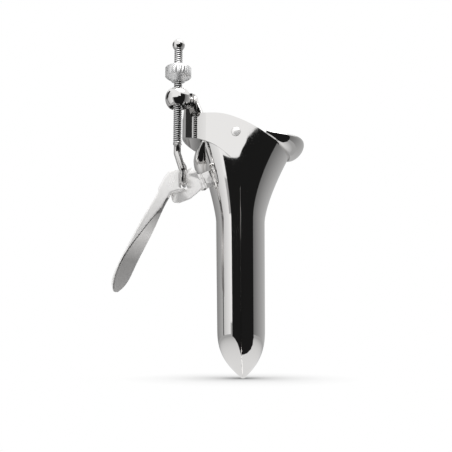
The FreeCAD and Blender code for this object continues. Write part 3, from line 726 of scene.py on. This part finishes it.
def ring_chain(name, rings, points=28):
    """Tube skinned over rings, each a centre, its two directions and its half size along each."""
    clear()
    made = None
    for centre, long_way, short_way, long_size, short_size in rings:
        normal = long_way.cross(short_way).normalized()
        axes = Matrix((long_way, short_way, normal)).transposed()
        if made is not None:
            bpy.ops.mesh.select_all(action="DESELECT")
        bpy.ops.mesh.primitive_circle_add(
            vertices=points, radius=MM, location=centre * MM, rotation=axes.to_euler(),
        )
        if made is None:
            made = bpy.context.object
            made.name = name
            bpy.ops.object.transform_apply(location=True, rotation=True, scale=True)
            edit_all()
        bpy.ops.transform.resize(
            value=(long_size, short_size, 1.0), orient_type="GLOBAL", orient_matrix=axes,
            orient_matrix_type="GLOBAL", center_override=centre * MM,
        )
    bpy.ops.mesh.select_all(action="SELECT")
    bpy.ops.mesh.bridge_edge_loops(type="SINGLE")
    close_ends()
    smooth(SMOOTH_SHEET)
    return made


# The rolled rim of the mouth: how far round it goes, its lean, and its half sizes at the middle.
SECTION_POWER = 2.3
RIM_STEPS = 24
RIM_TURN = 66.0
RIM_LEAN = 45.0
RIM_LONG = 5.0
RIM_SHORT = 2.7
RIM_SEAT = 0.4

# The mouth's edge: its drop below the crown at a place out from the seam, and its slope from there.
MOUTH_DROP = 10.2
MOUTH_START = 8.4
MOUTH_SLOPE = 0.657
SETTLING = 40

# The rolled lip: (left of the hinge, half width, drop below the hinge, share of its radius), to the middle.
LIP_RADIUS = 2.8
LIP_PATH = (
    (15.2, 11.6, 2.2, 0.35), (17.1, 9.0, 6.0, 0.75), (17.8, 6.2, 9.4, 1.0), (18.0, 3.1, 11.2, 1.0),
    (18.0, 0.0, 11.9, 1.0),
)


def rim_station(angle):
    """Place on the mouth's edge at an angle round the blade, where its slope and the blade's wall meet."""
    power = 2.0 / SECTION_POWER
    height = HINGE[1]
    for _ in range(SETTLING):
        across = half_width(height) * math.copysign(abs(math.sin(angle)) ** power, angle)
        out = fixed_depth(height) * abs(math.cos(angle)) ** power
        height = CROWN - MOUTH_DROP - (out - MOUTH_START) * MOUTH_SLOPE
    return Vector((out, across, height))


def make_rim():
    """Rolled rim of the fixed blade's mouth, which swells at the front and dies out to the sides."""
    lean = math.radians(RIM_LEAN)
    up = Vector((0, 0, 1))
    rings = []
    for step in range(-RIM_STEPS, RIM_STEPS + 1):
        angle = math.radians(RIM_TURN * step / RIM_STEPS)
        share = 0.13 + 0.87 * math.cos(angle * 1.28) ** 1.2
        outward = Vector((math.cos(angle * 1.05), math.sin(angle * 1.05), 0))
        long_way = outward * math.cos(lean) + up * math.sin(lean)
        short_way = outward * -math.sin(lean) + up * math.cos(lean)
        centre = rim_station(angle) + long_way * (RIM_LONG * share - RIM_SEAT)
        rings.append((centre, long_way, short_way, RIM_LONG * share, RIM_SHORT * share))
    rim = ring_chain("rolled_rim_bead", rings)
    coat(rim, POLISHED)
    finish_piece(rim, "frame", "polished_steel")


def make_lip():
    """Rolled lip at the back of the mobile blade."""
    keys = [(HINGE[0] - left, -across, HINGE[1] - drop, share) for left, across, drop, share in LIP_PATH]
    keys += [(x, -y, z, share) for x, y, z, share in keys[-2::-1]]
    spots = [Vector(spot) for spot in through([key[:3] for key in keys], 5)]
    shares = [spot[0] for spot in through([(key[3], 0, 0) for key in keys], 5)]
    back = Vector((-1, 0, 0))
    rings = []
    for index, centre in enumerate(spots):
        along = (spots[min(index + 1, len(spots) - 1)] - spots[max(index - 1, 0)]).normalized()
        long_way = (back - along * back.dot(along)).normalized()
        short_way = along.cross(long_way)
        size = LIP_RADIUS * shares[index]
        rings.append((centre, long_way, short_way, size, size))
    lip = ring_chain("rolled_lip_bead", rings)
    coat(lip, POLISHED)
    finish_piece(lip, "mobile", "polished_steel")


# The screw thread, and its profile as (radius, share of the pitch).
THREAD_LOW = 104.0
THREAD_HIGH = 150.0
PITCH = 1.0
THREAD_RADIUS = 1.95
THREAD_ROOT = THREAD_RADIUS - 0.50
THREAD_PROFILE = ((THREAD_ROOT, 0.0), (THREAD_RADIUS, 0.42), (THREAD_RADIUS, 0.58), (THREAD_ROOT, 1.0))
THREAD_START = 0.2
THREAD_STEPS = 24


def make_thread():
    """Screw thread: the profile of one tooth spun up the rod, with its two ends closed."""
    axis = mm(*SCREW_AXIS, 0)
    moves = [
        mm(after[0] - before[0], 0, (after[1] - before[1]) * PITCH)
        for before, after in zip(THREAD_PROFILE, THREAD_PROFILE[1:])
    ]
    start = axis + mm(THREAD_PROFILE[0][0], 0, THREAD_LOW - THREAD_START)
    thread = draw_line("thread_helix", start, moves)
    bpy.ops.object.mode_set(mode="OBJECT")
    middle = bpy.data.objects.new("thread_axis", None)
    bpy.context.collection.objects.link(middle)
    middle.location = axis
    spin = thread.modifiers.new("spin", "SCREW")
    spin.object = middle
    spin.axis = "Z"
    spin.screw_offset = PITCH * MM
    spin.iterations = int(THREAD_HIGH - THREAD_LOW)
    spin.steps = THREAD_STEPS
    spin.render_steps = THREAD_STEPS
    spin.use_merge_vertices = False
    bpy.ops.object.modifier_apply(modifier="spin")
    bpy.data.objects.remove(middle)
    edit_all()
    bpy.ops.mesh.remove_doubles(threshold=0.000002)
    close_ends()
    smooth(SMOOTH_THREAD)
    coat(thread, THREADED)
    finish_piece(thread, "screw", "turned_steel")


# The block that cuts the solid's rod away where the thread stands: half its width and its ends.
ROOM_REACH = 5.0
ROOM_START = 0.4
ROOM_ABOVE = 12.0


def make_rod():
    """Plain shank, knee and hook of the rod: the solid's own mesh, cut off where the thread begins."""
    rod = smooth_copy("threaded_rod")
    x, y = SCREW_AXIS
    low = THREAD_LOW + ROOM_START
    top = THREAD_HIGH + ROOM_ABOVE
    near, far = x - ROOM_REACH, x + ROOM_REACH
    room = [(near, y, low), (far, y, low), (far, y, top), (near, y, top)]
    combine(rod, cutter("thread_room", room, (0, 1, 0), ROOM_REACH), "DIFFERENCE")
    smooth(SMOOTH_SOLID)
    coat(rod, TURNED)
    finish_piece(rod, "screw", "turned_steel", "threaded_rod")


def glow(name, level):
    """Even white or grey surface that lights by itself."""
    material = bpy.data.materials.new(name)
    material.use_nodes = True
    tree = material.node_tree
    tree.nodes.clear()
    shine = node(tree, "ShaderNodeEmission", Color=(level, level, level, 1.0), Strength=1.0)
    out = tree.nodes.new("ShaderNodeOutputMaterial")
    tree.links.new(shine.outputs["Emission"], out.inputs["Surface"])
    return material


def fading(name, near_level, far_level, front, back):
    """Glow that changes evenly from a place in front of the object to one behind it."""
    material = glow(name, near_level)
    tree = material.node_tree
    shine = next(entry for entry in tree.nodes if entry.type == "EMISSION")
    level = ranged(tree, place_parts(tree)["Y"], -front * MM, back * MM, near_level, far_level)
    tree.links.new(level, shine.inputs["Color"])
    return material


CARD_RADIUS = 200.0
CARD_FOOT = -30.0
FLOOR_LIFT = 0.4
FLOOR_CUTS = 60


def studio_sheet(name, material, rows, cuts, spot):
    """Sheet curved round the object that only the steel's reflections show.

    rows lists bearings, from straight in front, with a value at each. spot gives a point's radius and
    height from that value and the point's share of the way across the sheet.
    """
    clear()
    bpy.ops.mesh.primitive_plane_add(size=1)
    made = bpy.context.object
    made.name = name
    edit_all()
    bpy.ops.mesh.subdivide(number_cuts=cuts)
    bpy.ops.object.mode_set(mode="OBJECT")
    first, last = rows[0][0], rows[-1][0]
    for vertex in made.data.vertices:
        bearing = first + (vertex.co.x + 0.5) * (last - first)
        radius, height = spot(between(rows, bearing), vertex.co.y + 0.5)
        turn = math.radians(bearing)
        vertex.co = mm(radius * math.sin(turn), -radius * math.cos(turn), height)
    coat(made, material)
    made.visible_camera = False
    made.visible_shadow = False
    made.visible_diffuse = False


def card(name, material, tops, low=CARD_FOOT, radius=CARD_RADIUS):
    """Upright card; tops gives the height of its top edge at each bearing."""
    cuts = max(2, int(abs(tops[-1][0] - tops[0][0]) / 2))
    studio_sheet(name, material, tops, cuts, lambda top, share: (radius, low + share * (top - low)))


def front_floor(name, material, inners):
    """Stretch of floor in front of the object; inners gives its inner radius at each bearing."""
    studio_sheet(
        name, material, inners, FLOOR_CUTS,
        lambda inner, share: (inner + share * (CARD_RADIUS - inner), FLOOR_LIFT),
    )


def ray_kinds(tree):
    """Whether a ray comes off the steel, and whether it comes off the steel or from the camera."""
    path = tree.nodes.new("ShaderNodeLightPath")
    glossy = path.outputs["Is Glossy Ray"]
    return glossy, calc(tree, "MAXIMUM", path.outputs["Is Camera Ray"], glossy)


# The floor: its size and reach of the tip's shadow in metres, and the levels that the steel reflects.
FLOOR_SIZE = 12.0
SHADOW_REACH = 0.045
SHADOW_RAMP = ((0.30, 0.20), (0.97, 1.0))
FLOOR_NEAR = 0.010
FLOOR_FAR = 0.120
FLOOR_LEVELS = (0.84, 0.42)
FLOOR_MATT = 0.8
FILL = 0.95


def make_floor():
    """White floor with a painted shadow close under the tip, that the steel sees as a fading grey."""
    clear()
    bpy.ops.mesh.primitive_plane_add(size=FLOOR_SIZE)
    floor = bpy.context.object
    floor.name = "floor"
    material = bpy.data.materials.new("floor_white")
    material.use_nodes = True
    tree = material.node_tree
    tree.nodes.clear()
    # Painted shadow: the floor darkens where the object hangs close over it.
    near = node(tree, "ShaderNodeAmbientOcclusion", Distance=SHADOW_REACH)
    near.samples = 16
    ramp = tree.nodes.new("ShaderNodeValToRGB")
    for element, (spot, level) in zip(ramp.color_ramp.elements, SHADOW_RAMP):
        element.position = spot
        element.color = (level, level, level, 1.0)
    tree.links.new(near.outputs["AO"], ramp.inputs["Fac"])
    place = tree.nodes.new("ShaderNodeTexCoord")
    far = tree.nodes.new("ShaderNodeVectorMath")
    far.operation = "LENGTH"
    tree.links.new(place.outputs["Object"], far.inputs[0])
    reflected = ranged(tree, far.outputs["Value"], FLOOR_NEAR, FLOOR_FAR, *FLOOR_LEVELS)
    glossy, seen = ray_kinds(tree)
    pale = tree.nodes.new("ShaderNodeMixRGB")
    tree.links.new(glossy, pale.inputs["Fac"])
    tree.links.new(ramp.outputs["Color"], pale.inputs["Color1"])
    tree.links.new(reflected, pale.inputs["Color2"])
    shine = node(tree, "ShaderNodeEmission", Strength=1.0)
    tree.links.new(pale.outputs["Color"], shine.inputs["Color"])
    matt = node(tree, "ShaderNodeBsdfDiffuse", Color=(FLOOR_MATT, FLOOR_MATT, FLOOR_MATT, 1.0))
    mix = tree.nodes.new("ShaderNodeMixShader")
    tree.links.new(seen, mix.inputs["Fac"])
    tree.links.new(matt.outputs["BSDF"], mix.inputs[1])
    tree.links.new(shine.outputs["Emission"], mix.inputs[2])
    out = tree.nodes.new("ShaderNodeOutputMaterial")
    tree.links.new(mix.outputs["Shader"], out.inputs["Surface"])
    floor.data.materials.append(material)


def make_world():
    """White background for the camera and for reflections, and a soft grey fill light."""
    world = bpy.data.worlds.new("studio")
    bpy.context.scene.world = world
    world.use_nodes = True
    tree = world.node_tree
    tree.nodes.clear()
    seen = ray_kinds(tree)[1]
    fill = node(tree, "ShaderNodeBackground", Color=(FILL, FILL, FILL, 1.0), Strength=1.0)
    white = node(tree, "ShaderNodeBackground", Color=(1.0, 1.0, 1.0, 1.0), Strength=1.0)
    mix = tree.nodes.new("ShaderNodeMixShader")
    tree.links.new(seen, mix.inputs["Fac"])
    tree.links.new(fill.outputs["Background"], mix.inputs[1])
    tree.links.new(white.outputs["Background"], mix.inputs[2])
    out = tree.nodes.new("ShaderNodeOutputWorld")
    tree.links.new(mix.outputs["Shader"], out.inputs["Surface"])


def make_camera():
    """Camera in the photograph's place."""
    pan = math.radians(CAMERA_PAN)
    tilt = math.radians(CAMERA_TILT)
    forward = Vector((-math.sin(pan) * math.cos(tilt), math.cos(pan) * math.cos(tilt), math.sin(tilt)))
    lens = bpy.data.cameras.new("camera")
    lens.sensor_width = SENSOR
    lens.lens = FOCAL_PIXELS / FRAME_PIXELS * SENSOR
    lens.clip_start = NEAREST_SEEN
    camera = bpy.data.objects.new("camera", lens)
    bpy.context.collection.objects.link(camera)
    camera.location = mm(*CAMERA_PLACE)
    camera.rotation_euler = forward.to_track_quat("-Z", "Y").to_euler()
    bpy.context.scene.camera = camera


LAMP_SIZE = 0.9
LAMP_POWER = 12.0
LAMP_PLACE = (0.3, -0.2, 1.3)
LAMP_AIM = (0, 0, 0.08)


def make_lamp():
    """Large soft lamp above the object."""
    light = bpy.data.lights.new("top_lamp", "AREA")
    light.shape = "RECTANGLE"
    light.size = LAMP_SIZE
    light.size_y = LAMP_SIZE
    light.energy = LAMP_POWER
    lamp = bpy.data.objects.new("top_lamp", light)
    bpy.context.collection.objects.link(lamp)
    lamp.location = LAMP_PLACE
    lamp.rotation_euler = (Vector(LAMP_AIM) - lamp.location).to_track_quat("-Z", "Y").to_euler()


# Cards round the object: (bearing, height of the top edge). The front one makes the black reflection.
DARK = 0.012
CARD_TOP = 262
DARK_TOPS = (
    (-37, 121), (-4, 121), (-2, 129), (0, 142), (5, 156), (13, 156), (23, 151), (24.5, CARD_TOP),
    (68, CARD_TOP),
)
RIGHT_TOPS = ((68, CARD_TOP), (178, CARD_TOP))
THIN_TOPS = ((-94, 200), (-87, 200))
LEFT_TOPS = ((-178, CARD_TOP), (-94, CARD_TOP))
PALE_TOPS = ((-87, CARD_TOP), (-45, CARD_TOP))
HIGH_TOPS = ((-112, 300), (-80, 300))
HIGH_FOOT = 152.0
HIGH_RADIUS = 190.0
FLOOR_EDGE = ((-37, 120), (-20, 60), (-8, 26), (-4, 17.5), (8, 18), (25, 20), (45, 27), (58, 42), (68, 110))


def make_studio():
    """Camera, background, lamp, floor and the cards that the steel reflects."""
    make_camera()
    make_world()
    make_lamp()
    make_floor()
    card("front_dark_card", glow("front_dark", DARK), DARK_TOPS)
    card("right_grey_card", fading("right_grey", 0.18, 0.50, 75, 200), RIGHT_TOPS)
    card("left_thin_card", glow("left_thin", 0.10), THIN_TOPS)
    card("left_grey_card", fading("left_grey", 0.50, 0.24, 0, 200), LEFT_TOPS)
    card("left_pale_card", fading("left_pale", 0.95, 0.60, 150, 0), PALE_TOPS)
    card("left_high_card", glow("left_high", 0.03), HIGH_TOPS, HIGH_FOOT, HIGH_RADIUS)
    front_floor("front_dark_floor", glow("front_dark_floor", DARK), FLOOR_EDGE)


OWN_PIECES = ("fixed_blade", "mobile_blade", "threaded_rod", "thumb_lever", "lever_rivets")

make_studio()
make_blades()
make_rim()
make_lip()
make_thread()
make_rod()
make_lever()
dress_solids([name for name in frame["nodes"] if name not in OWN_PIECES])

bpy.context.scene.view_settings.view_transform = "Standard"
